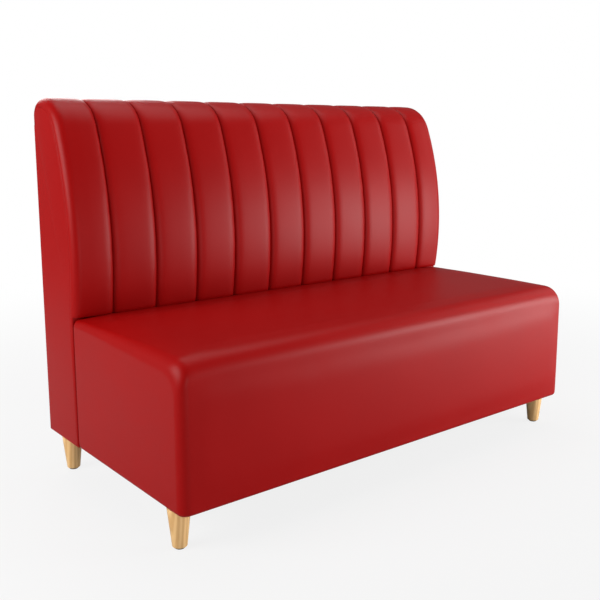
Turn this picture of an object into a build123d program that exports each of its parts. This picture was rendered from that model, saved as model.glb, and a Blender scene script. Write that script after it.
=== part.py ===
from build123d import *
import os
from math import asin, atan2, cos, pi, radians, sin, sqrt

os.makedirs("parts", exist_ok=True)

# The bench stands on Z = 0 with its origin under the middle of its footprint.
# X runs along the bench, Y from front to rear. A depth is counted forwards from the rear face.

# Overall sizes of the upholstered bench
bench_width = 1400.0
bench_depth = 742.0
back_height = 1031.0
seat_height = 462.0
leg_height = 100.0
back_base_depth = 192.0
back_full_depth = 223.0
back_full_height = 617.0

# Curves of the back, seen from its end
back_crown_depth = 49.6
back_top_radius = 115.0
back_rear_radius = 45.0
back_rear_seam_drop = 71.0

# Leatherette and its fit over the padding
cover_thickness = 2.0
soft_clearance = 0.3
cut_overrun = 10.0

# Channels of the back
channel_count = 11
end_channel_wrap = 17.2
groove_depth = 10.0
groove_rear_depth = 3.0
groove_flank_width = 20.0
channel_crown = 1.2
pad_depth = 40.0
pad_rear_depth = 20.0
skin_thickness = 6.0
back_corner_radius = 24.0
back_rear_corner_radius = 11.0
back_front_corner_radius = 8.0

# Rounded edges of the seat
seat_crown = 3.0
seat_front_radius = 48.0
seat_rear_radius = 25.0
seat_bottom_radius = 12.0
seat_corner_radius = 27.0
seat_rear_corner_radius = 10.0
seat_end_radius = 34.0
seat_end_fall = 5.0
seat_end_reach = 120.0
seat_foam_thickness = 100.0
seat_border_thickness = 12.0

# Boards and rails
board_thickness = 18.0
base_board_width = 150.0
base_rail_width = 60.0
spring_rail_width = 35.0
spring_rail_height = 40.0
rear_board_thickness = 4.0
side_foam_thickness = 8.0
seat_level_rail_width = 40.0
seat_level_rail_height = 30.0
top_rail_height = 30.0
middle_rail_width = 20.0
middle_rail_height = 60.0
middle_rail_rise = 138.0

# Springs
spring_count = 9
spring_end_margin = 68.0
spring_wire = 3.8
spring_row_width = 34.0
spring_gap_count = 14
clip_sheet = 0.8
clip_width = 16.0
clip_length = 14.0
clip_play = 0.2
felt_thickness = 4.0

# Turned under edges of the covers
end_turn_under = 66.0
long_turn_under = 45.0
flange_width = 25.0
dust_cover_thickness = 1.0
dust_cover_lap = 20.0

# Legs and their fixings
leg_top_diameter = 56.0
leg_foot_diameter = 35.0
leg_foot_chamfer = 1.5
leg_end_inset = 32.0
leg_front_inset = 70.0
leg_rear_inset = 83.0
leg_hole_clearance = 3.0
glide_diameter = 25.0
glide_height = 4.0
glide_chamfer = 1.0
glide_pin_diameter = 3.0
glide_pin_length = 15.0
bolt_diameter = 8.0
bolt_play = 0.3
hanger_bolt_length = 52.0
hanger_bolt_in_leg = 30.0
tee_barrel_diameter = 10.0
tee_barrel_length = 14.0
tee_flange_diameter = 22.0
tee_flange_thickness = 1.5
tee_notch_clearance = 2.0
thread_clearance = 0.05

# Bolts that join the back to the seat, and frame screws
joining_bolt_inset = 250.0
joining_bolt_rise = 50.0
joining_bolt_drop = 65.7
joining_bolt_length = 52.0
bolt_head_width = 13.0
bolt_head_height = 5.3
washer_diameter = 24.0
washer_thickness = 2.0
screw_diameter = 4.0
screw_length = 50.0
screw_head_diameter = 8.0
screw_head_height = 2.5
screw_count = 3
screw_margin = 38.0

# Staples of the dust covers
staple_crown = 10.0
staple_wire = 0.7
staple_spacing = 60.0

# Values that several pieces share
half_width = bench_width / 2
rear_y = bench_depth / 2
front_y = -bench_depth / 2
seat_rear_y = rear_y - back_base_depth - soft_clearance
seat_edge_height = seat_height - seat_crown
box_bottom = leg_height + cover_thickness
pad_bottom = seat_edge_height + soft_clearance
lining = cover_thickness + soft_clearance

back_rear_seam_height = back_height - back_rear_seam_drop
top_centre_depth = back_crown_depth
top_centre_height = back_height - back_top_radius
arc_rise = top_centre_height - back_full_height
arc_run = back_full_depth - back_top_radius - back_crown_depth
lean = 2 * atan2(arc_run, arc_rise)
back_front_radius = back_top_radius + arc_rise / sin(lean)
front_centre_depth = back_full_depth - back_front_radius

channel_pitch = (bench_width + 2 * end_channel_wrap) / channel_count

frame_half_width = half_width - cover_thickness - seat_border_thickness
frame_front_y = front_y + cover_thickness + seat_border_thickness
frame_rear_y = seat_rear_y - cover_thickness
base_top = box_bottom + board_thickness
foam_bottom = seat_height - lining - seat_foam_thickness
rim_top = foam_bottom - felt_thickness
clip_height = spring_wire + clip_play + 2 * clip_sheet
rail_top = rim_top - clip_height
rail_bottom = rail_top - spring_rail_height
inner_half_width = frame_half_width - board_thickness

panel_half_width = half_width - cover_thickness - side_foam_thickness
bay_half_width = panel_half_width - board_thickness
divider_spacing = 2 * bay_half_width / 3
rib_front_depth = back_base_depth - cover_thickness - board_thickness
rib_rear_depth = cover_thickness + rear_board_thickness
rib_offset = pad_depth + soft_clearance + skin_thickness

leg_x = half_width - leg_end_inset
leg_front_y = front_y + leg_front_inset
leg_rear_y = rear_y - leg_rear_inset
leg_places = [(-leg_x, leg_front_y), (leg_x, leg_front_y), (-leg_x, leg_rear_y), (leg_x, leg_rear_y)]
joining_x = half_width - joining_bolt_inset
joining_heights = (base_top + joining_bolt_rise, rim_top - joining_bolt_drop)
joining_places = [(side * joining_x, height) for side in (-1, 1) for height in joining_heights]


def write(node, shape):
    """Write one node, from a single solid or a list of separate solids."""
    solids = []
    for item in shape if isinstance(shape, list) else [shape]:
        solids += item.solids()
    result = solids[0] if len(solids) == 1 else Compound(children=solids)
    export_step(result, f"parts/{node}.step")


def block(x, y, z):
    """A box between two values on each axis."""
    (x0, x1), (y0, y1), (z0, z1) = sorted(x), sorted(y), sorted(z)
    return Pos((x0 + x1) / 2, (y0 + y1) / 2, (z0 + z1) / 2) * Box(x1 - x0, y1 - y0, z1 - z0)


def upright(x, y, z, radius, length):
    """A cylinder standing on height z."""
    return Pos(x, y, z + length / 2) * Cylinder(radius, length)


def along_y(x, y, z, radius, length):
    """A cylinder that runs rearwards from depth position y."""
    return Pos(x, y + length / 2, z) * Rot(90, 0, 0) * Cylinder(radius, length)


def side_point(x, depth, height):
    return Vector(x, rear_y - depth, height)


def side_arc(x, centre, radius, start, end):
    """An arc in the plane of constant x; angles start at the front and turn up."""
    depth, height = centre
    angles = (start, (start + end) / 2, end)
    points = [side_point(x, depth + radius * cos(a), height + radius * sin(a)) for a in angles]
    return Edge.make_three_point_arc(*points)


def side_lines(x, points):
    """Straight edges through depth and height pairs."""
    places = [side_point(x, depth, height) for depth, height in points]
    return [Edge.make_line(a, b) for a, b in zip(places, places[1:])]


def back_curve(x, inset, rear_inset, low, rear_low):
    """The back's outline, from the rear foot over the crown to the front foot, drawn in by inset."""
    rear_radius = back_rear_radius - rear_inset
    crown = back_height - inset
    rear_centre = (back_rear_radius, crown - rear_radius)
    top_radius = back_top_radius - inset
    front_radius = back_front_radius - inset
    front_angle = asin((low - back_full_height) / front_radius)
    edges = side_lines(x, [(rear_inset, rear_low), (rear_inset, crown - rear_radius)])
    edges.append(side_arc(x, rear_centre, rear_radius, pi, pi / 2))
    edges += side_lines(x, [(back_rear_radius, crown), (top_centre_depth, crown)])
    edges.append(side_arc(x, (top_centre_depth, top_centre_height), top_radius, pi / 2, lean))
    edges.append(side_arc(x, (front_centre_depth, back_full_height), front_radius, lean, front_angle))
    return edges


def front_depth(inset, height):
    """Depth of the back's front curve at a height."""
    radius = back_front_radius - inset
    return front_centre_depth + sqrt(radius ** 2 - (height - back_full_height) ** 2)


def closed(x, outer, inner_start, inner_end, inner):
    """Wire of an outer run of edges, an inner run in the same direction, and two closing lines."""
    start = outer[0] @ 0
    end = outer[-1] @ 1
    joins = [Edge.make_line(end, inner_end), Edge.make_line(inner_start, start)]
    return Wire(outer + [joins[0]] + list(reversed(inner)) + [joins[1]])


def shell_section(x, inset, rear_inset, inner_inset, inner_rear_inset, rear_low):
    """Closed section between two outlines of the back, from the rear seam to the seat."""
    outer = back_curve(x, inset, rear_inset, pad_bottom, rear_low)
    inner = back_curve(x, inner_inset, inner_rear_inset, pad_bottom, rear_low)
    return closed(x, outer, inner[0] @ 0, inner[-1] @ 1, inner)


def foam_section(x, inset, rear_inset):
    """Closed section of a channel's foam, which is flat where it lies on the rear rail and top."""
    outer = back_curve(x, inset + lining, rear_inset + lining, pad_bottom, back_rear_seam_height)
    crown = back_height - pad_depth
    corners = [(pad_rear_depth, back_rear_seam_height), (pad_rear_depth, crown), (top_centre_depth, crown)]
    inner = side_lines(x, corners)
    top = (top_centre_depth, top_centre_height)
    front = (front_centre_depth, back_full_height)
    radius = back_front_radius - pad_depth
    inner.append(side_arc(x, top, back_top_radius - pad_depth, pi / 2, lean))
    inner.append(side_arc(x, front, radius, lean, asin((pad_bottom - back_full_height) / radius)))
    return closed(x, outer, inner[0] @ 0, inner[-1] @ 1, inner)


def round_inset(radius, distance):
    """How far a rounded corner is drawn in at a distance from the end it rounds."""
    if distance >= radius:
        return 0.0
    return radius - sqrt(radius ** 2 - (radius - distance) ** 2)


def seam_x(number):
    """Place along X of a seam between two channels, counted from the left."""
    return (number - channel_count / 2) * channel_pitch


def flank_stations(seam, side):
    """Places and insets of a channel's flank, from its seam towards its middle."""
    width_shares = (0.0, 0.14, 0.42, 1.0)
    depth_shares = (1.0, 0.5, 0.2, 0.0)
    rows = []
    for width_share, depth_share in zip(width_shares, depth_shares):
        inset = channel_crown + (groove_depth - channel_crown) * depth_share
        rear_inset = groove_rear_depth * depth_share
        rows.append((seam + side * groove_flank_width * width_share, inset, rear_inset))
    return rows


def corner_stations(side):
    """Places and insets of the end channels where they round the corner, from the end inwards."""
    radius = back_corner_radius
    distances = [0.0, lining] + [radius * (1 - cos(radians(turn))) for turn in (45, 65)] + [radius]
    rows = []
    for distance in distances:
        x = side * (half_width - distance)
        crown = channel_crown * distance / radius
        rows.append((x, round_inset(radius, distance) + crown, round_inset(back_rear_corner_radius, distance)))
    return rows


def channel_stations(number):
    """Stations of one channel from left to right, numbered from 1."""
    if number == 1:
        left = corner_stations(-1)
    else:
        left = flank_stations(seam_x(number - 1), 1)
    if number == channel_count:
        right = corner_stations(1)
    else:
        right = flank_stations(seam_x(number), -1)
    middle = ((left[-1][0] + right[-1][0]) / 2, 0.0, 0.0)
    return left + [middle] + right[::-1]


def ruled(wires):
    return Solid.make_loft(wires, True)


def channel_foam(number):
    """Foam strip of one channel, glued upright on the bent skin."""
    stations = channel_stations(number)
    if number == 1:
        stations = stations[1:]
    if number == channel_count:
        stations = stations[:-1]
    return ruled([foam_section(*station) for station in stations])


def channel_cover():
    """The sewn cover of all channels, in one piece over the crown to the rear seam."""
    stations = []
    for number in range(1, channel_count + 1):
        rows = channel_stations(number)
        stations += rows if number == 1 else rows[1:]
    rear_low = back_rear_seam_height + soft_clearance
    wires = []
    for x, inset, rear_inset in stations:
        wires.append(shell_section(x, inset, rear_inset, inset + cover_thickness,
                                   rear_inset + cover_thickness, rear_low))
    return ruled(wires)


def plate(edges, x0, x1):
    """A flat plate in a plane of constant x."""
    face = Face(Wire(edges))
    return Solid.extrude(face, Vector(x1 - x0, 0, 0))


def rib_plate(x0, x1):
    """End panel or rib of the back: the pad's curve in front, notched for foam at the top rear."""
    ledge = front_depth(rib_offset, pad_bottom)
    crown = back_height - rib_offset
    radius = back_front_radius - rib_offset
    angle = asin((pad_bottom - back_full_height) / radius)
    lower = [(ledge, pad_bottom), (rib_front_depth, pad_bottom), (rib_front_depth, base_top),
             (rib_rear_depth, base_top), (rib_rear_depth, back_rear_seam_height),
             (pad_rear_depth, back_rear_seam_height), (pad_rear_depth, crown), (top_centre_depth, crown)]
    edges = side_lines(x0, lower)
    edges.append(side_arc(x0, (top_centre_depth, top_centre_height), back_top_radius - rib_offset,
                          pi / 2, lean))
    edges.append(side_arc(x0, (front_centre_depth, back_full_height), radius, lean, angle))
    return plate(edges, x0, x1)


def front_skin():
    """Bent plywood over the ribs, from the top rear notch to the seat."""
    x0 = -panel_half_width
    runs = []
    for inset in (pad_depth + soft_clearance, rib_offset):
        crown = back_height - inset
        radius = back_front_radius - inset
        run = side_lines(x0, [(pad_rear_depth, crown), (top_centre_depth, crown)])
        run.append(side_arc(x0, (top_centre_depth, top_centre_height), back_top_radius - inset,
                            pi / 2, lean))
        run.append(side_arc(x0, (front_centre_depth, back_full_height), radius, lean,
                            asin((pad_bottom - back_full_height) / radius)))
        runs.append(run)
    outer, inner = runs
    wire = closed(x0, outer, inner[0] @ 0, inner[-1] @ 1, inner)
    return Solid.extrude(Face(wire), Vector(2 * panel_half_width, 0, 0))


def tee_nut_solid(radius_extra=0.0):
    """Tee nut with its barrel below height zero and its flange above."""
    barrel = upright(0, 0, -tee_barrel_length, tee_barrel_diameter / 2 + radius_extra, tee_barrel_length)
    flange = upright(0, 0, 0, tee_flange_diameter / 2, tee_flange_thickness)
    bore = upright(0, 0, -tee_barrel_length - cut_overrun, bolt_diameter / 2 + thread_clearance,
                   tee_barrel_length + 2 * cut_overrun)
    return barrel + flange - bore


def rounded_rear(board):
    """A board of the seat's base with its lower rear edge rounded over for the cover."""
    lower = board.edges().filter_by(Axis.X).group_by(Axis.Z)[0]
    return fillet(lower.sort_by(Axis.Y)[-1], seat_bottom_radius - cover_thickness)


def base_holes(places, low, high):
    """Holes for bolts and tee nut barrels through a base board between two heights."""
    holes = []
    for x, y in places:
        holes.append(upright(x, y, low - cut_overrun, bolt_diameter / 2 + bolt_play,
                             high - low + 2 * cut_overrun))
        holes.append(upright(x, y, high - tee_barrel_length, tee_barrel_diameter / 2 + thread_clearance,
                             tee_barrel_length + cut_overrun))
    return holes


def tee_notches(places):
    """Notches in the foot of an end board, clear of the tee nut flanges."""
    radius = tee_flange_diameter / 2 + tee_notch_clearance
    height = tee_flange_thickness + 2 * tee_notch_clearance
    return [upright(x, y, base_top - cut_overrun, radius, height + cut_overrun) for x, y in places]


def cut(shape, tools):
    for tool in tools:
        shape = shape - tool
    return shape


def screw_solid(side, y, height, extra=0.0):
    """Countersunk screw driven inwards along X from an end board's outer face."""
    face = side * frame_half_width if y < seat_rear_y else side * panel_half_width
    head = Cone(screw_head_diameter / 2 + extra, screw_diameter / 2 + extra, screw_head_height)
    shank = Cylinder(screw_diameter / 2 + extra, screw_length - screw_head_height)
    screw = Pos(0, 0, screw_head_height / 2) * head + Pos(0, 0, (screw_length + screw_head_height) / 2) * shank
    return Pos(face, y, height) * Rot(0, -side * 90, 0) * screw


screw_rows = (frame_front_y + board_thickness / 2, frame_rear_y - board_thickness / 2,
              rear_y - rib_front_depth - board_thickness / 2)
screw_low = base_top + screw_margin
screw_pitch = (rim_top - screw_margin - screw_low) / (screw_count - 1)


def screws_at(sides, rows, extra=0.0):
    return [screw_solid(side, y, screw_low + index * screw_pitch, extra)
            for side in sides for y in rows for index in range(screw_count)]


def seat_section(x, drop, inset, rear_inset, lift, crown, offset):
    """Rounded section of the seat; drop lowers its top and the insets draw in its front and rear."""
    front = front_y + inset + offset
    rear = seat_rear_y - rear_inset - offset
    top = seat_edge_height - drop - offset
    bottom = leg_height + lift + offset
    front_radius = seat_front_radius - offset
    rear_radius = seat_rear_radius - offset
    low_radius = seat_bottom_radius - offset
    diagonal = sqrt(0.5)

    def corner(y, z, radius, y_sign, z_sign):
        reach = radius * diagonal
        return Vector(x, y + y_sign * reach, z + z_sign * reach)

    p = [Vector(x, front, bottom + low_radius), Vector(x, front, top - front_radius),
         Vector(x, front + front_radius, top), Vector(x, rear - rear_radius, top),
         Vector(x, rear, top - rear_radius), Vector(x, rear, bottom + low_radius),
         Vector(x, rear - low_radius, bottom), Vector(x, front + low_radius, bottom)]
    middle = (p[2] + p[3]) * 0.5 + Vector(0, 0, crown)
    front_top = corner(front + front_radius, top - front_radius, front_radius, -1, 1)
    rear_top = corner(rear - rear_radius, top - rear_radius, rear_radius, 1, 1)
    rear_low = corner(rear - low_radius, bottom + low_radius, low_radius, 1, -1)
    front_low = corner(front + low_radius, bottom + low_radius, low_radius, -1, -1)
    return Wire([Edge.make_line(p[0], p[1]),
                 Edge.make_three_point_arc(p[1], front_top, p[2]),
                 Edge.make_three_point_arc(p[2], middle, p[3]),
                 Edge.make_three_point_arc(p[3], rear_top, p[4]),
                 Edge.make_line(p[4], p[5]),
                 Edge.make_three_point_arc(p[5], rear_low, p[6]),
                 Edge.make_line(p[6], p[7]),
                 Edge.make_three_point_arc(p[7], front_low, p[0])])


def seat_block(offset):
    """The seat's outer form, drawn in by an offset: crowned top that falls towards rounded ends."""
    end_crown_share = 0.2
    radius = seat_end_radius - offset
    reach = seat_end_reach - offset
    distances = [radius * (1 - cos(radians(turn))) for turn in (0, 20, 40, 60, 90)]
    distances += [seat_bottom_radius - offset, (radius + reach) / 2, reach]
    rows = []
    for distance in sorted(distances):
        rise = 1 - round_inset(radius, distance) / radius
        fall = seat_end_fall * (1 - distance / reach) ** 2
        drop = radius * (1 - rise) + fall
        inset = round_inset(seat_corner_radius - offset, distance)
        rear_inset = round_inset(seat_rear_corner_radius - offset, distance)
        lift = round_inset(seat_bottom_radius - offset, distance)
        crown = seat_crown * (end_crown_share + (1 - end_crown_share) * rise)
        rows.append((half_width - offset - distance, drop, inset, rear_inset, lift, crown))
    wires = [seat_section(-row[0], *row[1:], offset) for row in rows]
    wires += [seat_section(*row, offset) for row in reversed(rows)]
    return ruled(wires)


def seat_cover():
    """Leatherette over the whole seat, turned under and open in the middle of its underside."""
    opening = block((-half_width + end_turn_under, half_width - end_turn_under),
                    (front_y + long_turn_under, seat_rear_y - long_turn_under),
                    (leg_height - cut_overrun, leg_height + cut_overrun))
    shell = seat_block(0.0) - seat_block(cover_thickness) - opening
    holes = [upright(x, y, leg_height - cut_overrun, bolt_diameter / 2 + bolt_play, 2 * cut_overrun)
             for x, y in leg_places[:2]]
    holes += [along_y(x, frame_rear_y - cut_overrun, z, bolt_diameter / 2 + bolt_play, 2 * cut_overrun)
              for x, z in joining_places]
    return cut(shell, holes)


def seat_foams():
    """The crowned foam above the springs, and the border foam glued round the box below it."""
    form = seat_block(lining)
    reach = bench_width
    upper = form & block((-reach, reach), (-reach, reach), (foam_bottom, seat_height))
    lower = form & block((-reach, reach), (-reach, frame_rear_y), (box_bottom + soft_clearance, foam_bottom))
    core = block((-frame_half_width, frame_half_width), (frame_front_y, reach), (0, foam_bottom + cut_overrun))
    return upper, lower - core


def spring(x):
    """Sinuous spring: straight rows across, joined by half turns, in one flat run of wire."""
    first = frame_front_y + board_thickness + spring_rail_width / 2
    last = frame_rear_y - board_thickness - spring_rail_width / 2
    pitch = (last - first) / spring_gap_count
    height = rail_top + clip_sheet + clip_play / 2 + spring_wire / 2
    half_row = spring_row_width / 2
    edges = []
    for row in range(spring_gap_count + 1):
        y = first + row * pitch
        side = 1 if row % 2 == 0 else -1
        edges.append(Edge.make_line(Vector(x - side * half_row, y, height),
                                    Vector(x + side * half_row, y, height)))
        if row < spring_gap_count:
            edges.append(Edge.make_three_point_arc(
                Vector(x + side * half_row, y, height),
                Vector(x + side * (half_row + pitch / 2), y + pitch / 2, height),
                Vector(x + side * half_row, y + pitch, height)))
    path = Wire(edges)
    profile = Plane(path @ 0, z_dir=path % 0) * Circle(spring_wire / 2)
    return sweep(profile, path)


def spring_clip(x, y, side):
    """Folded steel clip round the spring's end row, closed towards the board."""
    base = rail_top
    body = block((x - clip_width / 2, x + clip_width / 2), (y - clip_length / 2, y + clip_length / 2),
                 (base, base + clip_height))
    closed_edge = y - side * (clip_length / 2 - clip_sheet)
    open_edge = y + side * (clip_length / 2 + cut_overrun)
    slot = block((x - clip_width, x + clip_width), (closed_edge, open_edge),
                 (base + clip_sheet, base + clip_height - clip_sheet))
    return body - slot


def leg(x, y):
    """Turned taper leg with a hole for its hanger bolt and one for its glide's pin."""
    height = leg_height - glide_height
    taper = Pos(x, y, glide_height + height / 2) * Cone(leg_foot_diameter / 2, leg_top_diameter / 2, height)
    taper = chamfer(taper.edges().sort_by(Axis.Z)[0], leg_foot_chamfer)
    bolt_hole = upright(x, y, leg_height - hanger_bolt_in_leg, bolt_diameter / 2 + thread_clearance,
                        hanger_bolt_in_leg + cut_overrun)
    pin_hole = upright(x, y, glide_height - cut_overrun, glide_pin_diameter / 2 + thread_clearance,
                       glide_pin_length + cut_overrun)
    return taper - bolt_hole - pin_hole


def glide(x, y):
    """Plastic glide nailed under a foot."""
    disc = upright(x, y, 0, glide_diameter / 2, glide_height)
    disc = chamfer(disc.edges().sort_by(Axis.Z)[0], glide_chamfer)
    return disc + upright(x, y, glide_height, glide_pin_diameter / 2, glide_pin_length)


def hex_bolt(x, z):
    """Hexagon bolt from inside the seat box, through both modules, towards the rear."""
    start = frame_rear_y - board_thickness - washer_thickness
    head = extrude(RegularPolygon(bolt_head_width / 2, 6, major_radius=False), bolt_head_height)
    shank = Cylinder(bolt_diameter / 2, joining_bolt_length)
    bolt = Pos(0, 0, -bolt_head_height) * head + Pos(0, 0, joining_bolt_length / 2) * shank
    return Pos(x, start, z) * Rot(-90, 0, 0) * bolt


def washer(x, z):
    start = frame_rear_y - board_thickness - washer_thickness
    ring = along_y(x, start, z, washer_diameter / 2, washer_thickness)
    return ring - along_y(x, start - cut_overrun, z, bolt_diameter / 2 + bolt_play, 3 * cut_overrun)


def joining_holes(near, depth):
    """Bolt holes along Y from a near face, running past a board of a given depth."""
    return [along_y(x, near - cut_overrun, z, bolt_diameter / 2 + bolt_play, depth + 2 * cut_overrun)
            for x, z in joining_places]


def staple(x, y, turned):
    """Wire staple driven upwards through a dust cover, with its crown below it."""
    crown = block((-staple_crown / 2, staple_crown / 2), (-staple_wire / 2, staple_wire / 2), (-staple_wire, 0))
    return Pos(x, y, leg_height - dust_cover_thickness) * Rot(0, 0, 90 if turned else 0) * crown


def staple_rows(x_reach, y0, y1):
    """Staples round the edge of a dust cover, clear of the legs."""
    places = []
    count = round(2 * x_reach / staple_spacing)
    for index in range(count + 1):
        x = -x_reach + index * 2 * x_reach / count
        places += [(x, y0, False), (x, y1, False)]
    rows = round((y1 - y0) / staple_spacing)
    for index in range(1, rows):
        y = y0 + index * (y1 - y0) / rows
        places += [(-x_reach, y, True), (x_reach, y, True)]
    clear = leg_top_diameter / 2 + leg_hole_clearance + staple_crown
    kept = []
    for x, y, turned in places:
        if all((x - a) ** 2 + (y - b) ** 2 > clear ** 2 for a, b in leg_places):
            kept.append(staple(x, y, turned))
    return kept


def dust_cover(x_reach, y0, y1):
    """Thin cloth under a module, lapped over the turned under covers and cut round the legs."""
    sheet = block((-x_reach, x_reach), (y0, y1), (leg_height - dust_cover_thickness, leg_height))
    holes = [upright(x, y, 0, leg_top_diameter / 2 + leg_hole_clearance, 2 * leg_height)
             for x, y in leg_places]
    return cut(sheet, holes)


def side_foam(side):
    """Thin foam glued on the back's end panel, inside the channel foam's edge."""
    x0 = side * panel_half_width
    x1 = side * (half_width - cover_thickness)
    inset = pad_depth + soft_clearance
    rear = back_rear_corner_radius + soft_clearance
    top_rear = pad_rear_depth + soft_clearance
    curve = back_curve(x0, inset, top_rear, pad_bottom, back_rear_seam_height)
    end = curve[-1] @ 1
    front = back_base_depth - back_front_corner_radius - soft_clearance
    low = box_bottom + soft_clearance
    foot = [(rear_y - end.Y, end.Z), (front, pad_bottom), (front, low), (rear, low),
            (rear, back_rear_seam_height), (top_rear, back_rear_seam_height)]
    return plate(curve + side_lines(x0, foot), x0, x1)


def corner_strip(side, depth_centre, radius, towards_front, low, high):
    """Cover round an upright edge of the back: a quarter turn and a flange on the next face."""
    turn = 1 if towards_front else -1
    centre_x = side * (half_width - radius)
    centre_y = rear_y - depth_centre
    ring = Cylinder(radius, high - low) - Cylinder(radius - cover_thickness, high - low + cut_overrun)
    quarter = block((0, side * radius), (0, -turn * radius), (low, high))
    arc = Pos(centre_x, centre_y, (low + high) / 2) * ring & Pos(centre_x, centre_y, 0) * quarter
    outer_y = centre_y - turn * radius
    flange = block((centre_x, side * (half_width - radius - flange_width)),
                   (outer_y, outer_y + turn * cover_thickness), (low, high))
    return arc + flange


def side_cover(side):
    """Leatherette of one end of the back, from the channel seam round to the rear and below."""
    x0 = side * half_width
    x1 = side * (half_width - cover_thickness)
    inset = back_corner_radius + lining
    rear_radius = back_rear_corner_radius
    curve = back_curve(x0, inset, rear_radius + lining, pad_bottom, back_rear_seam_height)
    end = curve[-1] @ 1
    front = back_base_depth - back_front_corner_radius
    foot = [(rear_y - end.Y, end.Z), (front, pad_bottom), (front, leg_height), (rear_radius, leg_height),
            (rear_radius, back_rear_seam_height), (rear_radius + lining, back_rear_seam_height)]
    panel = plate(curve + side_lines(x0, foot), x0, x1)
    rear = corner_strip(side, rear_radius, rear_radius, False, leg_height, back_rear_seam_height)
    nose = corner_strip(side, front, back_front_corner_radius, True, leg_height, pad_bottom)
    under = block((x1, side * (half_width - end_turn_under)),
                  (rear_y - rear_radius, rear_y - front), (leg_height, box_bottom))
    holes = [upright(x, y, leg_height - cut_overrun, bolt_diameter / 2 + bolt_play, 2 * cut_overrun)
             for x, y in leg_places[2:]]
    return cut(panel + rear + nose + under, holes)


def bays(y, z):
    """Three rails in line, one between each pair of ribs of the back."""
    half_rib = board_thickness / 2
    rib_x = divider_spacing / 2
    spans = [(-bay_half_width, -rib_x - half_rib), (-rib_x + half_rib, rib_x - half_rib),
             (rib_x + half_rib, bay_half_width)]
    return [block(span, y, z) for span in spans]


# Legs with their glides, bolts and tee nuts
leg_names = ("leg_front_left", "leg_front_right", "leg_rear_left", "leg_rear_right")
for leg_name, (place_x, place_y) in zip(leg_names, leg_places):
    write(leg_name, leg(place_x, place_y))
write("leg_glides", [glide(x, y) for x, y in leg_places])
write("leg_hanger_bolts", [upright(x, y, leg_height - hanger_bolt_in_leg, bolt_diameter / 2,
                                   hanger_bolt_length) for x, y in leg_places])
nut_plane_y = rear_y - rib_front_depth
upright_nuts = [Pos(x, y, base_top) * tee_nut_solid() for x, y in leg_places]
level_nuts = [Pos(x, nut_plane_y, z) * Rot(-90, 0, 0) * tee_nut_solid() for x, z in joining_places]
write("tee_nuts", upright_nuts + level_nuts)

# Bolts, washers and screws of the frames
write("joining_bolts", [hex_bolt(x, z) for x, z in joining_places])
write("joining_washers", [washer(x, z) for x, z in joining_places])
write("frame_screws", screws_at((-1, 1), screw_rows))

# Seat box of boards
front_board_y = (frame_front_y, frame_front_y + board_thickness)
rear_board_y = (frame_rear_y - board_thickness, frame_rear_y)
long_board_x = (-inner_half_width, inner_half_width)
for side_name, side in (("left", -1), ("right", 1)):
    board = block((side * inner_half_width, side * frame_half_width), (frame_front_y, frame_rear_y),
                  (base_top, rim_top))
    board = cut(board, tee_notches(leg_places[:2]) + screws_at((side,), screw_rows[:2], thread_clearance))
    write(f"seat_{side_name}_end_board", board)
    base = block((side * (frame_half_width - base_board_width), side * frame_half_width),
                 (frame_front_y, frame_rear_y), (box_bottom, base_top))
    base = cut(rounded_rear(base), base_holes(leg_places[:2], box_bottom, base_top))
    write(f"seat_{side_name}_base_board", base)
    divider_x = side * divider_spacing / 2
    write(f"seat_{side_name}_divider",
          block((divider_x - board_thickness / 2, divider_x + board_thickness / 2),
                (front_board_y[1], rear_board_y[0]), (base_top, rail_bottom)))
front_board = block(long_board_x, front_board_y, (base_top, rim_top))
write("seat_front_board", cut(front_board, screws_at((-1, 1), screw_rows[:1], thread_clearance)))
rear_board = block(long_board_x, rear_board_y, (base_top, rim_top))
rear_board = cut(rear_board, joining_holes(rear_board_y[0], board_thickness))
write("seat_rear_board", cut(rear_board, screws_at((-1, 1), screw_rows[1:2], thread_clearance)))
base_rail_x = (base_board_width - frame_half_width, frame_half_width - base_board_width)
write("seat_front_base_rail", block(base_rail_x, (frame_front_y, frame_front_y + base_rail_width),
                                    (box_bottom, base_top)))
rear_base_rail = block(base_rail_x, (frame_rear_y - base_rail_width, frame_rear_y), (box_bottom, base_top))
write("seat_rear_base_rail", rounded_rear(rear_base_rail))
write("seat_front_spring_rail", block(long_board_x, (front_board_y[1], front_board_y[1] + spring_rail_width),
                                      (rail_bottom, rail_top)))
write("seat_rear_spring_rail", block(long_board_x, (rear_board_y[0] - spring_rail_width, rear_board_y[0]),
                                     (rail_bottom, rail_top)))

# Springs, felt, foam and cover of the seat
spring_reach = inner_half_width - spring_end_margin
spring_spacing = 2 * spring_reach / (spring_count - 1)
spring_places = [index * spring_spacing - spring_reach for index in range(spring_count)]
write("seat_springs", [spring(x) for x in spring_places])
front_clip_y = front_board_y[1] + spring_rail_width / 2
rear_clip_y = rear_board_y[0] - spring_rail_width / 2
write("seat_spring_clips", [spring_clip(x, y, side) for x in spring_places
                            for y, side in ((front_clip_y, 1), (rear_clip_y, -1))])
write("seat_spring_felt", block((-frame_half_width, frame_half_width), (frame_front_y, frame_rear_y),
                                (rim_top, foam_bottom)))
seat_foam, border_foam = seat_foams()
write("seat_foam", seat_foam)
write("seat_border_foam", border_foam)
write("seat_cover", seat_cover())

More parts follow.
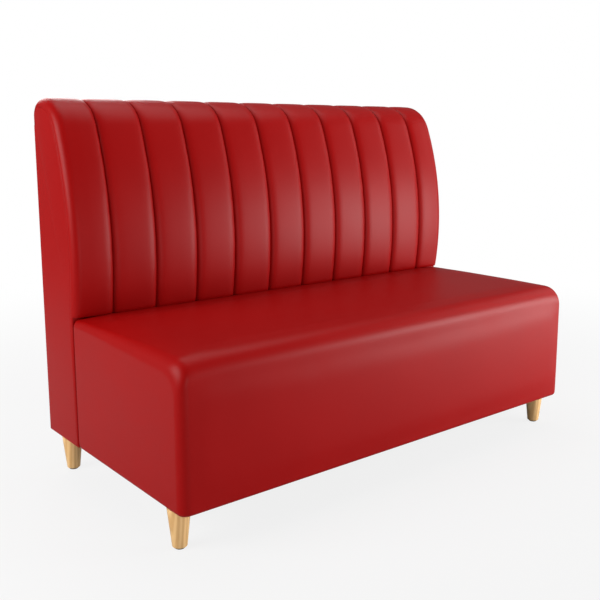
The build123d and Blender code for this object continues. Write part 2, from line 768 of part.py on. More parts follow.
# Frame of the back
for side_name, side in (("left", -1), ("right", 1)):
    panel = rib_plate(side * bay_half_width, side * panel_half_width)
    panel = cut(panel, tee_notches(leg_places[2:]) + screws_at((side,), screw_rows[2:], thread_clearance))
    write(f"back_{side_name}_end_panel", panel)
    rib_x = side * divider_spacing / 2
    write(f"back_{side_name}_rib", rib_plate(rib_x - board_thickness / 2, rib_x + board_thickness / 2))
base = block((-panel_half_width, panel_half_width), (rear_y - rib_rear_depth, rear_y - rib_front_depth),
             (box_bottom, base_top))
write("back_base_board", cut(base, base_holes(leg_places[2:], box_bottom, base_top)))
lower_board = block((-panel_half_width, panel_half_width),
                    (nut_plane_y - board_thickness, nut_plane_y), (box_bottom, pad_bottom))
barrel_holes = [along_y(x, nut_plane_y - tee_barrel_length, z, tee_barrel_diameter / 2 + thread_clearance,
                        tee_barrel_length + cut_overrun) for x, z in joining_places]
lower_board = cut(lower_board, joining_holes(nut_plane_y - board_thickness, board_thickness) + barrel_holes)
write("back_lower_front_board", cut(lower_board, screws_at((-1, 1), screw_rows[2:], thread_clearance)))
write("back_seat_level_rails", bays((nut_plane_y, nut_plane_y + seat_level_rail_width),
                                    (pad_bottom - seat_level_rail_height, pad_bottom)))
rail_crown = back_height - rib_offset
write("back_top_rails", bays((rear_y - pad_rear_depth, rear_y - top_centre_depth),
                             (rail_crown - top_rail_height, rail_crown)))
middle_rail_bottom = seat_height + middle_rail_rise
write("back_middle_rails", bays((rear_y - rib_rear_depth - middle_rail_width, rear_y - rib_rear_depth),
                                (middle_rail_bottom, middle_rail_bottom + middle_rail_height)))
rear_sheet_x = half_width - back_rear_corner_radius
write("back_rear_board", block((-rear_sheet_x, rear_sheet_x), (rear_y - rib_rear_depth,
                               rear_y - cover_thickness), (box_bottom, back_rear_seam_height)))
write("back_front_skin", front_skin())

# Foam and covers of the back
for number in range(1, channel_count + 1):
    write(f"back_channel_foam_{number:02d}", channel_foam(number))
write("back_channel_cover", channel_cover())
for side_name, side in (("left", -1), ("right", 1)):
    write(f"back_{side_name}_side_foam", side_foam(side))
    write(f"back_{side_name}_side_cover", side_cover(side))
rear_panel_x = half_width - back_rear_corner_radius - flange_width - soft_clearance
rear_panel = block((-rear_panel_x, rear_panel_x), (rear_y - cover_thickness, rear_y),
                   (leg_height, back_rear_seam_height))
under_x = half_width - end_turn_under - soft_clearance
rear_under = block((-under_x, under_x), (rear_y - long_turn_under, rear_y - cover_thickness),
                   (leg_height, box_bottom))
write("back_rear_cover", rear_panel + rear_under)
lining_x = half_width - back_front_corner_radius - flange_width - soft_clearance
front_lining = block((-lining_x, lining_x), (nut_plane_y - board_thickness - cover_thickness,
                     nut_plane_y - board_thickness), (leg_height, pad_bottom))
front_under = block((-under_x, under_x), (nut_plane_y - board_thickness,
                    nut_plane_y - board_thickness + long_turn_under), (leg_height, box_bottom))
lining_holes = joining_holes(nut_plane_y - board_thickness - cover_thickness, cover_thickness)
write("back_lower_front_lining", cut(front_lining + front_under, lining_holes))

# Dust covers under both modules
dust_x = half_width - end_turn_under + dust_cover_lap
lap = long_turn_under - dust_cover_lap
seat_dust_y = (front_y + lap, seat_rear_y - lap)
back_dust_y = (rear_y - back_base_depth + lap, rear_y - lap)
write("seat_dust_cover", dust_cover(dust_x, *seat_dust_y))
write("back_dust_cover", dust_cover(dust_x, *back_dust_y))
edge = dust_cover_lap / 2
staples = staple_rows(dust_x - edge, seat_dust_y[0] + edge, seat_dust_y[1] - edge)
staples += staple_rows(dust_x - edge, back_dust_y[0] + edge, back_dust_y[1] - edge)
write("dust_cover_staples", staples)
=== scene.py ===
from math import asin, atan2, ceil, cos, exp, pi, radians, sin, sqrt

import bmesh
import bpy
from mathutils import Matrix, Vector, kdtree, noise


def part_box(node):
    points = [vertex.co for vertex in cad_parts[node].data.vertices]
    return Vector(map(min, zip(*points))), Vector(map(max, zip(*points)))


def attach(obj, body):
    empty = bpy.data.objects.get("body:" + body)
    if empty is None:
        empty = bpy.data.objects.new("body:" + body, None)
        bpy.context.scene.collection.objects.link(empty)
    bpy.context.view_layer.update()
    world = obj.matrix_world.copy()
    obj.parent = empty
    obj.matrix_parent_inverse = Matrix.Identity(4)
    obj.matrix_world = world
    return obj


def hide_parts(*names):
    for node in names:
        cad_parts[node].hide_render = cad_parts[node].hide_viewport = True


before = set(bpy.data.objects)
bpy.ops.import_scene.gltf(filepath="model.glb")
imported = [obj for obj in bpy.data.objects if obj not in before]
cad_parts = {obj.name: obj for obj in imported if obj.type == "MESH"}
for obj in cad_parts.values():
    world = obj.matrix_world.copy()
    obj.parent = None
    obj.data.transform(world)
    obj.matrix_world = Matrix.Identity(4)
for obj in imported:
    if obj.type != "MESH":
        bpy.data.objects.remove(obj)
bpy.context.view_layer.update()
scene = bpy.context.scene
scene.view_settings.view_transform = "Standard"

# Camera, to the bench's front left at chest height and level across, as in the photograph.
# The small shift keeps the bench near the middle of the frame.
camera_place = (-1.5507, -1.8582, 0.9401)
camera_yaw = radians(39.305)
camera_pitch = radians(9.477)
camera_lens = bpy.data.cameras.new("camera")
camera_lens.sensor_width = 36.0
camera_lens.lens = 49.48
camera_lens.shift_x = -0.02
camera_lens.shift_y = -0.05
camera = bpy.data.objects.new("camera", camera_lens)
camera.location = camera_place
camera.rotation_euler = (pi / 2 - camera_pitch, 0, -camera_yaw)
scene.collection.objects.link(camera)
scene.camera = camera


# Floor and background, a pale seamless paper. It takes the bench's soft shadow near its feet and
# runs out into plain white further off.
def deselect():
    bpy.ops.object.select_all(action="DESELECT")


def new_material(name, colour, roughness):
    """A node material with its colour and roughness set on the Principled shader."""
    material = bpy.data.materials.new(name)
    material.use_nodes = True
    shader = material.node_tree.nodes["Principled BSDF"]
    shader.inputs["Base Color"].default_value = (*colour, 1)
    shader.inputs["Roughness"].default_value = roughness
    return material


def add_node(material, kind, inputs=None, **fields):
    """A node of a material or of the world, with some of its fields and inputs set."""
    node = material.node_tree.nodes.new("ShaderNode" + kind)
    for field, value in fields.items():
        setattr(node, field, value)
    for socket, value in (inputs or {}).items():
        node.inputs[socket].default_value = value
    return node


def wire(material, source, output, target, socket):
    """A link between two nodes of a material."""
    material.node_tree.links.new(source.outputs[output], target.inputs[socket])


def background_rays(material):
    """One where a ray comes from the camera or through glass, a small share where it comes from a
    sheen, and zero where it brings light."""
    path = add_node(material, "LightPath")
    clear = add_node(material, "Math", operation="ADD", use_clamp=True)
    seen = add_node(material, "Math", {1: sheen_share}, operation="MULTIPLY_ADD", use_clamp=True)
    wire(material, path, "Is Camera Ray", clear, 0)
    wire(material, path, "Is Transmission Ray", clear, 1)
    wire(material, path, "Is Glossy Ray", seen, 0)
    wire(material, clear, 0, seen, 2)
    return seen


sheen_share = 0.08
floor_radius = 12.0
floor_grey = 0.45
floor_roughness = 0.9
floor_shadow_radius = 1.0
floor_white_radius = 3.2
floor_near_glow = 0.84
ambient_light = 0.18
white = (1, 1, 1, 1)
deselect()
bpy.ops.mesh.primitive_circle_add(vertices=96, radius=floor_radius, fill_type="NGON")
floor = bpy.context.object
floor.name = "floor"
paper = new_material("pale_paper", (floor_grey, floor_grey, floor_grey), floor_roughness)
paper.node_tree.nodes["Principled BSDF"].inputs["Specular IOR Level"].default_value = 0.0
paper_place = add_node(paper, "TexCoord")
paper_distance = add_node(paper, "VectorMath", operation="LENGTH")
paper_reach = {"From Min": floor_shadow_radius, "From Max": floor_white_radius,
               "To Min": floor_near_glow, "To Max": 1.0}
paper_fade = add_node(paper, "MapRange", paper_reach, interpolation_type="SMOOTHSTEP")
paper_share = add_node(paper, "Math", operation="MULTIPLY")
paper_glow = add_node(paper, "Emission", {"Color": white, "Strength": 1.0})
paper_mix = add_node(paper, "MixShader")
wire(paper, paper_place, "Object", paper_distance, 0)
wire(paper, paper_distance, "Value", paper_fade, "Value")
wire(paper, paper_fade, "Result", paper_share, 0)
wire(paper, background_rays(paper), 0, paper_share, 1)
wire(paper, paper_share, 0, paper_mix, 0)
wire(paper, paper.node_tree.nodes["Principled BSDF"], 0, paper_mix, 1)
wire(paper, paper_glow, 0, paper_mix, 2)
wire(paper, paper_mix, 0, paper.node_tree.nodes["Material Output"], 0)
floor.data.materials.append(paper)

studio = bpy.data.worlds.new("studio")
studio.use_nodes = True
studio_level = add_node(studio, "MapRange", {"To Min": ambient_light, "To Max": 1.0})
studio_light = studio.node_tree.nodes["Background"]
studio_light.inputs["Color"].default_value = white
wire(studio, background_rays(studio), 0, studio_level, "Value")
wire(studio, studio_level, "Result", studio_light, "Strength")
scene.world = studio


# Lamps, six softboxes: a strong low one at the front right, which shows as the sheen on the
# channels, a large one at the left, one behind, and weaker ones at the right, in front and above.
# None shows in the picture itself.
lamp_aim = (0.0, 0.0, 0.5)


def softbox(name, place, width, height, watts):
    """A rectangular soft lamp that faces the middle of the bench."""
    lamp = bpy.data.lights.new(name, "AREA")
    lamp.shape = "RECTANGLE"
    lamp.size = width
    lamp.size_y = height
    lamp.energy = watts
    stand = bpy.data.objects.new(name, lamp)
    stand.location = place
    stand.rotation_euler = (Vector(lamp_aim) - Vector(place)).to_track_quat("-Z", "Y").to_euler()
    stand.visible_camera = False
    scene.collection.objects.link(stand)


softbox("lamp_front_right", place=(2.25, -2.0, 0.6), width=1.6, height=1.1, watts=88)
softbox("lamp_left", place=(-3.1, 0.3, 1.6), width=2.0, height=1.4, watts=92)
softbox("lamp_right", place=(3.0, -0.8, 2.0), width=1.6, height=1.4, watts=14)
softbox("lamp_front", place=(-0.8, -3.4, 0.5), width=1.0, height=1.0, watts=24)
softbox("lamp_top", place=(0.3, 0.3, 3.0), width=2.4, height=1.6, watts=34)
softbox("lamp_rear", place=(0.2, 3.2, 2.2), width=2.0, height=1.4, watts=60)


# Legs, four short ones turned from pale beech, with a rounded foot and a clear satin lacquer.
# Each screws up into the base boards on a hanger bolt.
def make_active(piece):
    """Selects one piece alone and makes it the active one."""
    deselect()
    piece.select_set(True)
    bpy.context.view_layer.objects.active = piece


def pick_edges(piece, wanted):
    """Goes into edit mode with only the edges selected whose two ends a test accepts."""
    bpy.context.view_layer.objects.active = piece
    bpy.ops.object.mode_set(mode="EDIT")
    bpy.ops.mesh.select_mode(type="EDGE")
    bpy.ops.mesh.select_all(action="DESELECT")
    work = bmesh.from_edit_mesh(piece.data)
    for edge in work.edges:
        edge.select_set(wanted(edge.verts[0].co, edge.verts[1].co))
    bmesh.update_edit_mesh(piece.data)


def leave_edit():
    bpy.ops.object.mode_set(mode="OBJECT")


def apply_place(piece):
    """Moves the piece's place into its mesh."""
    make_active(piece)
    bpy.ops.object.transform_apply(location=True, rotation=True, scale=True)


def settle(piece, name, material, node):
    """Names a finished piece, gives it its material and lets it stand for its CAD node."""
    piece.name = name
    piece.data.name = name
    piece.data.materials.clear()
    piece.data.materials.append(material)
    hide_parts(node)
    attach(piece, "root")


def grained_wood(name, pale, dark, stretch, ring_scale, roughness):
    """Wood with long fibres along one axis, faint growth bands and fine pores."""
    smoother = 0.06
    rougher = 0.08
    wood = new_material(name, pale, roughness)
    shader = wood.node_tree.nodes["Principled BSDF"]
    place = add_node(wood, "TexCoord")
    along = add_node(wood, "Mapping", {"Scale": stretch})
    warp = add_node(wood, "TexNoise", {"Scale": 0.25, "Detail": 2.0})
    bands = add_node(wood, "TexWave", {"Scale": ring_scale, "Distortion": 3.0, "Detail": 3.0,
                                       "Detail Scale": 1.2})
    fibres = add_node(wood, "TexNoise", {"Scale": 5.0, "Detail": 5.0, "Roughness": 0.6})
    blend = add_node(wood, "Mix", {"Factor": 0.45}, data_type="FLOAT")
    tint = add_node(wood, "ValToRGB")
    tint.color_ramp.elements[0].position = 0.32
    tint.color_ramp.elements[0].color = (*dark, 1)
    tint.color_ramp.elements[1].position = 0.68
    tint.color_ramp.elements[1].color = (*pale, 1)
    relief = add_node(wood, "Bump", {"Strength": 0.25, "Distance": 0.0003})
    gloss = add_node(wood, "MapRange", {"To Min": roughness - smoother, "To Max": roughness + rougher})
    wire(wood, place, "Object", along, "Vector")
    wire(wood, along, "Vector", warp, "Vector")
    wire(wood, along, "Vector", bands, "Vector")
    wire(wood, warp, "Fac", bands, "Phase Offset")
    wire(wood, along, "Vector", fibres, "Vector")
    wire(wood, bands, "Fac", blend, "A")
    wire(wood, fibres, "Fac", blend, "B")
    wire(wood, blend, "Result", tint, "Fac")
    wire(wood, tint, "Color", shader, "Base Color")
    wire(wood, fibres, "Fac", relief, "Height")
    wire(wood, relief, "Normal", shader, "Normal")
    wire(wood, fibres, "Fac", gloss, "Value")
    wire(wood, gloss, "Result", shader, "Roughness")
    return wood


leg_foot_radius = 0.0175
leg_foot_round = 0.0025
leg_top_round = 0.0008
leg_sharp_angle = radians(35)
leg_names = ("leg_front_left", "leg_front_right", "leg_rear_left", "leg_rear_right")
beech = grained_wood("lacquered_beech", pale=(0.80, 0.50, 0.215), dark=(0.64, 0.37, 0.14),
                     stretch=(60, 60, 5), ring_scale=0.5, roughness=0.42)
lacquer = beech.node_tree.nodes["Principled BSDF"]
lacquer.inputs["Coat Weight"].default_value = 0.25
lacquer.inputs["Coat Roughness"].default_value = 0.25
for leg_name in leg_names:
    low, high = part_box(leg_name)
    top_radius = (high.x - low.x) / 2
    deselect()
    bpy.ops.mesh.primitive_cone_add(vertices=72, radius1=leg_foot_radius, radius2=top_radius,
                                    depth=high.z - low.z, location=(low + high) / 2)
    leg = bpy.context.object
    apply_place(leg)
    pick_edges(leg, lambda a, b: max(a.z, b.z) < low.z + leg_foot_round)
    bpy.ops.mesh.bevel(offset=leg_foot_round, segments=5, affect="EDGES")
    leave_edit()
    pick_edges(leg, lambda a, b: min(a.z, b.z) > high.z - leg_top_round)
    bpy.ops.mesh.bevel(offset=leg_top_round, segments=3, affect="EDGES")
    leave_edit()
    bpy.ops.object.shade_smooth_by_angle(angle=leg_sharp_angle)
    settle(leg, f"{leg_name}_turned", beech, leg_name)


# Glides under the feet, of hard black plastic on a pin, and the legs' hanger bolts with the tee
# nuts that they screw into, all zinc plated. The bolts that join back and seat, their washers and
# the frame's screws are plated like them.
def dress(material, *names):
    """Gives CAD pieces their material."""
    for name in names:
        for material_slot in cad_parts[name].material_slots:
            material_slot.material = material


def plain_metal(name, colour, roughness):
    """Bare or plated steel with fine scratches and a slightly uneven sheen."""
    smoother = 0.1
    rougher = 0.12
    dark = [channel * 0.85 for channel in colour]
    metal = new_material(name, colour, roughness)
    shader = metal.node_tree.nodes["Principled BSDF"]
    shader.inputs["Metallic"].default_value = 1.0
    place = add_node(metal, "TexCoord")
    scratches = add_node(metal, "TexNoise", {"Scale": 40.0, "Detail": 4.0})
    sheen = add_node(metal, "MapRange", {"To Min": roughness - smoother, "To Max": roughness + rougher})
    shades = add_node(metal, "MixRGB", {"Color1": (*dark, 1), "Color2": (*colour, 1)})
    relief = add_node(metal, "Bump", {"Strength": 0.2, "Distance": 0.0001})
    wire(metal, place, "Object", scratches, "Vector")
    wire(metal, scratches, "Fac", sheen, "Value")
    wire(metal, sheen, "Result", shader, "Roughness")
    wire(metal, scratches, "Fac", shades, "Fac")
    wire(metal, shades, "Color", shader, "Base Color")
    wire(metal, scratches, "Fac", relief, "Height")
    wire(metal, relief, "Normal", shader, "Normal")
    return metal


def speckled(name, colour, roughness, grain, depth, contrast):
    """A dull material with a fine uneven grain, such as moulded plastic, felt or pressed fibre."""
    dark = [channel * (1 - contrast) for channel in colour]
    light = [channel * (1 + contrast) for channel in colour]
    stuff = new_material(name, colour, roughness)
    shader = stuff.node_tree.nodes["Principled BSDF"]
    place = add_node(stuff, "TexCoord")
    fine = add_node(stuff, "TexNoise", {"Scale": grain, "Detail": 5.0, "Roughness": 0.65})
    shades = add_node(stuff, "MixRGB", {"Color1": (*dark, 1), "Color2": (*light, 1)})
    relief = add_node(stuff, "Bump", {"Strength": 0.4, "Distance": depth})
    wire(stuff, place, "Object", fine, "Vector")
    wire(stuff, fine, "Fac", shades, "Fac")
    wire(stuff, shades, "Color", shader, "Base Color")
    wire(stuff, fine, "Fac", relief, "Height")
    wire(stuff, relief, "Normal", shader, "Normal")
    return stuff


glide_plastic = speckled("glide_plastic", (0.03, 0.03, 0.03), roughness=0.55, grain=900,
                         depth=0.0001, contrast=0.15)
zinc_plate = plain_metal("zinc_plate", (0.62, 0.63, 0.61), roughness=0.34)
dress(glide_plastic, "leg_glides")
dress(zinc_plate, "leg_hanger_bolts", "tee_nuts", "joining_bolts", "joining_washers", "frame_screws")

# Box of the seat: birch plywood boards screwed at the corners, with two dividers inside, base
# boards and rails for the legs, and pine rails that carry the springs.
birch_ply = grained_wood("birch_plywood", pale=(0.68, 0.52, 0.33), dark=(0.52, 0.36, 0.20),
                         stretch=(4, 30, 55), ring_scale=0.8, roughness=0.6)
pine = grained_wood("planed_pine", pale=(0.74, 0.56, 0.30), dark=(0.60, 0.38, 0.16),
                    stretch=(5, 60, 60), ring_scale=0.4, roughness=0.58)
dress(birch_ply, "seat_front_board", "seat_rear_board", "seat_left_end_board", "seat_right_end_board",
      "seat_left_divider", "seat_right_divider", "seat_left_base_board", "seat_right_base_board",
      "seat_front_base_rail", "seat_rear_base_rail")
dress(pine, "seat_front_spring_rail", "seat_rear_spring_rail")

# Springs, nine runs of zigzag wire in steel clips, with a needled felt over them. The seat's foam
# lies on the felt, and a thinner foam is glued round the box.
spring_steel = plain_metal("spring_steel", (0.20, 0.20, 0.21), roughness=0.38)
grey_felt = speckled("grey_felt", (0.24, 0.23, 0.22), roughness=0.95, grain=420, depth=0.0008,
                     contrast=0.35)
cut_foam = speckled("cut_foam", (0.80, 0.74, 0.55), roughness=0.9, grain=700, depth=0.0006,
                    contrast=0.12)
dress(spring_steel, "seat_springs")
dress(zinc_plate, "seat_spring_clips")
dress(grey_felt, "seat_spring_felt")
dress(cut_foam, "seat_foam", "seat_border_foam")

# Seat cover, one tight skin of red leatherette over the foam: soft rounded ends, a round front
# edge, and the lower edges turned under the box and stapled there.
seat_low, seat_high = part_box("seat_cover")
half_width = seat_high.x
seat_crown = 0.003
seat_front_radius = 0.048
seat_rear_radius = 0.012
seat_bottom_radius = 0.012
seat_corner_radius = 0.027
seat_rear_corner_radius = 0.015
seat_end_front_radius = 0.036
seat_end_rear_radius = 0.018
seat_end_front_fall = 0.005
seat_end_rear_fall = 0.006
seat_end_reach = 0.12
seat_end_turns = (0, 4, 8, 12, 16, 22, 28, 34, 40, 47, 54, 62, 71, 80, 90)
seat_end_shares = (0.95, 0.85, 0.72, 0.58, 0.44, 0.3, 0.16, 0.0)
seat_end_crown_share = 0.2
front_edge_steps = 9
rear_edge_steps = 6
bottom_edge_steps = 4
cover_step = 0.019
cover_thickness = 0.0012
point_weld = 0.00005
turn_under_end = 0.066
turn_under_long = 0.045
seat_base_band = 0.004
puff_pressure = 4.0
puff_frames = 20
puff_cap = 0.004
puff_evening = 0.04
puff_edge_gain = 10
held_bottom_start = 0.02
held_bottom_end = 0.08
held_rear_start = 0.06
held_rear_end = 0.2
held_end_reach = 0.05
leatherette_ior = 1.21


def round_inset(radius, distance):
    """How far a rounded corner is drawn in at a distance from the end that it rounds."""
    return radius - sqrt(radius ** 2 - (radius - distance) ** 2) if distance < radius else 0.0


def spread(start, end, step):
    """Evenly spaced values between two ends, without the last one."""
    count = max(1, round(abs(end - start) / step))
    return [start + (end - start) * index / count for index in range(count)]


def between(start, end, share):
    """The value at a share of the way from one value to another."""
    return start + (end - start) * share


def ramp(value, start, end):
    """A smooth rise from zero at one value to one at another."""
    share = min(1.0, max(0.0, (value - start) / (end - start)))
    return share * share * (3 - 2 * share)


def seat_top(distance, y):
    """Height of the seat's top: it falls a little towards each end and rounds over there, in a
    wider curve at the front than at the back, and is crowned from front to rear."""
    way = min(1.0, max(0.0, (y - seat_low.y) / (seat_high.y - seat_low.y)))
    ease = ramp(way, 0, 1)
    radius = between(seat_end_front_radius, seat_end_rear_radius, ease)
    fall = between(seat_end_front_fall, seat_end_rear_fall, ease)
    drop = round_inset(radius, distance) + fall * max(0.0, 1 - distance / seat_end_reach) ** 2
    inwards = min(1.0, distance / seat_end_front_radius)
    crown = seat_crown * (seat_end_crown_share + (1 - seat_end_crown_share) * inwards)
    return seat_high.z - seat_crown - drop + crown * (1 - (2 * way - 1) ** 2)


def seat_outline(distance):
    """Points of the seat's section at a distance from its end, upwards over the front edge."""
    front = seat_low.y + round_inset(seat_corner_radius, distance)
    rear = seat_high.y - round_inset(seat_rear_corner_radius, distance)
    bottom = seat_low.z + round_inset(seat_bottom_radius, distance)
    front_turn = front + seat_front_radius
    rear_turn = rear - seat_rear_radius
    front_top = seat_top(distance, front_turn) - seat_front_radius
    rear_top = seat_top(distance, rear_turn) - seat_rear_radius
    low_radius = seat_bottom_radius
    height = seat_high.z - seat_low.z
    depth = seat_high.y - seat_low.y
    points = []

    def face(y0, z0, y1, z1, length):
        count = round(length / cover_step)
        for index in range(count):
            points.append((between(y0, y1, index / count), between(z0, z1, index / count)))

    def corner(y, z, radius, start, steps):
        for index in range(steps):
            angle = start - pi / 2 * index / steps
            points.append((y + radius * cos(angle), z + radius * sin(angle)))

    face(front, bottom + low_radius, front, front_top, height)
    corner(front_turn, front_top, seat_front_radius, pi, front_edge_steps)
    count = round(depth / cover_step)
    for index in range(count):
        y = front_turn + (rear_turn - front_turn) * index / count
        points.append((y, seat_top(distance, y)))
    corner(rear_turn, rear_top, seat_rear_radius, pi / 2, rear_edge_steps)
    face(rear, rear_top, rear, bottom + low_radius, height)
    corner(rear - low_radius, bottom + low_radius, low_radius, 0, bottom_edge_steps)
    face(rear - low_radius, bottom, front + low_radius, bottom, depth)
    corner(front + low_radius, bottom + low_radius, low_radius, -pi / 2, bottom_edge_steps)
    return points


def skin(name, rows, closed=False):
    """A surface woven through rows of points; closed joins the two ends of each row."""
    width = len(rows[0])
    faces = []
    for row in range(len(rows) - 1):
        for column in range(width if closed else width - 1):
            a = row * width + column
            b = row * width + (column + 1) % width
            faces.append((a, b, b + width, a + width))
    mesh = bpy.data.meshes.new(name)
    mesh.from_pydata([point for row in rows for point in row], [], faces)
    piece = bpy.data.objects.new(name, mesh)
    scene.collection.objects.link(piece)
    make_active(piece)
    return piece


def weld(piece, distance):
    """Merges points that meet and turns all faces outwards."""
    bpy.context.view_layer.objects.active = piece
    bpy.ops.object.mode_set(mode="EDIT")
    bpy.ops.mesh.select_all(action="SELECT")
    bpy.ops.mesh.remove_doubles(threshold=distance)
    bpy.ops.mesh.normals_make_consistent(inside=False)
    leave_edit()


def apply_modifier(piece, kind, **fields):
    """Adds a modifier to a piece and applies it."""
    modifier = piece.modifiers.new(kind.lower(), kind)
    for field, value in fields.items():
        setattr(modifier, field, value)
    make_active(piece)
    bpy.ops.object.modifier_apply(modifier=modifier.name)


def evened(places, values, reach):
    """Each value as the average of those within a reach of it, the near ones weighing more."""
    tree = kdtree.KDTree(len(places))
    for index, place in enumerate(places):
        tree.insert(place, index)
    tree.balance()
    result = []
    for place in places:
        found = [(values[index], (1 - (distance / reach) ** 2) ** 2)
                 for _, index, distance in tree.find_range(place, reach)]
        total = sum(weight for _, weight in found)
        result.append(sum(value * weight for value, weight in found) / total)
    return result


def puff(piece, freedom):
    """Blows a closed cover up like stuffed cloth, held where a point's freedom is zero. Each point
    keeps its freedom's share of its move outwards, up to a cap, evened out over its neighbours."""
    start = [vertex.co.copy() for vertex in piece.data.vertices]
    outward = [vertex.normal.copy() for vertex in piece.data.vertices]
    free = [freedom(place) for place in start]
    group = piece.vertex_groups.new(name="held")
    group.add([index for index, share in enumerate(free) if share == 0.0], 1.0, "REPLACE")
    cloth = piece.modifiers.new("cloth", "CLOTH")
    cloth.settings.quality = 5
    cloth.settings.use_pressure = True
    cloth.settings.uniform_pressure_force = puff_pressure
    cloth.settings.vertex_group_mass = "held"
    cloth.settings.effector_weights.gravity = 0.0
    cloth.collision_settings.use_collision = False
    for number in range(1, puff_frames + 1):
        scene.frame_set(number)
    make_active(piece)
    bpy.ops.object.modifier_apply(modifier=cloth.name)
    moves = [(vertex.co - place).dot(normal) * share
             for vertex, place, normal, share in zip(piece.data.vertices, start, outward, free)]
    moves = [min(puff_cap, max(0.0, move)) for move in moves]
    moves = evened(start, moves, puff_evening)
    for vertex, place, normal, move, share in zip(piece.data.vertices, start, outward, moves, free):
        vertex.co = place + normal * move * min(1.0, share * puff_edge_gain)
    piece.vertex_groups.clear()
    scene.frame_set(1)


def seat_freedom(place):
    """How freely the seat cover swells: not at all at its bottom, rear and ends, fully elsewhere."""
    upwards = ramp(place.z, seat_low.z + held_bottom_start, seat_low.z + held_bottom_end)
    forwards = ramp(place.y, seat_high.y - held_rear_start, seat_high.y - held_rear_end)
    inwards = ramp(abs(place.x), half_width, half_width - held_end_reach)
    return upwards * forwards * inwards


def leather(name, colour, roughness):
    """Leatherette: fine pressed pores, faint larger creases and a soft, slightly uneven gloss."""
    smoother = 0.03
    rougher = 0.04
    crease_share = 0.6
    dark = [channel * 0.93 for channel in colour]
    light = [channel * 1.06 for channel in colour]
    hide = new_material(name, colour, roughness)
    shader = hide.node_tree.nodes["Principled BSDF"]
    shader.inputs["IOR"].default_value = leatherette_ior
    place = add_node(hide, "TexCoord")
    pores = add_node(hide, "TexVoronoi", {"Scale": 780.0, "Randomness": 1.0}, feature="F1")
    creases = add_node(hide, "TexNoise", {"Scale": 190.0, "Detail": 3.0, "Roughness": 0.55})
    broad = add_node(hide, "TexNoise", {"Scale": 5.0, "Detail": 2.0})
    depth = add_node(hide, "Math", {1: crease_share}, operation="MULTIPLY_ADD")
    shades = add_node(hide, "MixRGB", {"Color1": (*dark, 1), "Color2": (*light, 1)})
    gloss = add_node(hide, "MapRange", {"To Min": roughness - smoother, "To Max": roughness + rougher})
    relief = add_node(hide, "Bump", {"Strength": 0.10, "Distance": 0.00025})
    for texture in (pores, creases, broad):
        wire(hide, place, "Object", texture, "Vector")
    wire(hide, creases, "Fac", depth, 0)
    wire(hide, pores, "Distance", depth, 2)
    wire(hide, depth, 0, relief, "Height")
    wire(hide, relief, "Normal", shader, "Normal")
    wire(hide, broad, "Fac", shades, "Fac")
    wire(hide, shades, "Color", shader, "Base Color")
    wire(hide, broad, "Fac", gloss, "Value")
    wire(hide, gloss, "Result", shader, "Roughness")
    return hide


red_leatherette = leather("red_leatherette", (0.29, 0.0012, 0.0012), roughness=0.42)
seat_distances = [seat_end_front_radius * (1 - cos(radians(turn))) for turn in seat_end_turns]
seat_distances += spread(seat_end_front_radius, seat_end_reach, cover_step)[1:] + [seat_end_reach]
middle_x = spread(seat_end_reach - half_width, half_width - seat_end_reach, cover_step)[1:]
seat_rows = [[(distance - half_width, y, z) for y, z in seat_outline(distance)]
             for distance in seat_distances]
seat_rows += [[(x, y, z) for y, z in seat_outline(seat_end_reach)] for x in middle_x]
seat_rows += [[(half_width - distance, y, z) for y, z in seat_outline(distance)]
              for distance in reversed(seat_distances)]

# The flat ends close towards their middle in ever smaller rings
end_outline = seat_outline(0.0)
end_y = (seat_low.y + seat_high.y) / 2
end_z = (seat_low.z + seat_high.z - seat_end_front_radius) / 2
cap_rows = [[(between(end_y, y, share), between(end_z, z, share)) for y, z in end_outline]
            for share in seat_end_shares]
seat_rows = ([[(-half_width, y, z) for y, z in row] for row in reversed(cap_rows)] + seat_rows
             + [[(half_width, y, z) for y, z in row] for row in cap_rows])
seat_skin = skin("seat_cover_leatherette", seat_rows, closed=True)
weld(seat_skin, point_weld)
puff(seat_skin, seat_freedom)

# Underneath, the cover is open inside its turned under edges
bpy.ops.object.mode_set(mode="EDIT")
bpy.ops.mesh.select_mode(type="FACE")
bpy.ops.mesh.select_all(action="DESELECT")
work = bmesh.from_edit_mesh(seat_skin.data)
for panel in work.faces:
    middle = panel.calc_center_median()
    underneath = middle.z < seat_low.z + seat_base_band
    inside_x = abs(middle.x) < half_width - turn_under_end
    inside_y = seat_low.y + turn_under_long < middle.y < seat_high.y - turn_under_long
    panel.select_set(underneath and inside_x and inside_y)
bmesh.update_edit_mesh(seat_skin.data)
bpy.ops.mesh.delete(type="FACE")
leave_edit()
apply_modifier(seat_skin, "SUBSURF", levels=1, render_levels=1)
apply_modifier(seat_skin, "SOLIDIFY", thickness=cover_thickness, offset=-1)
bpy.ops.object.shade_smooth()
settle(seat_skin, "seat_cover_leatherette", red_leatherette, "seat_cover")


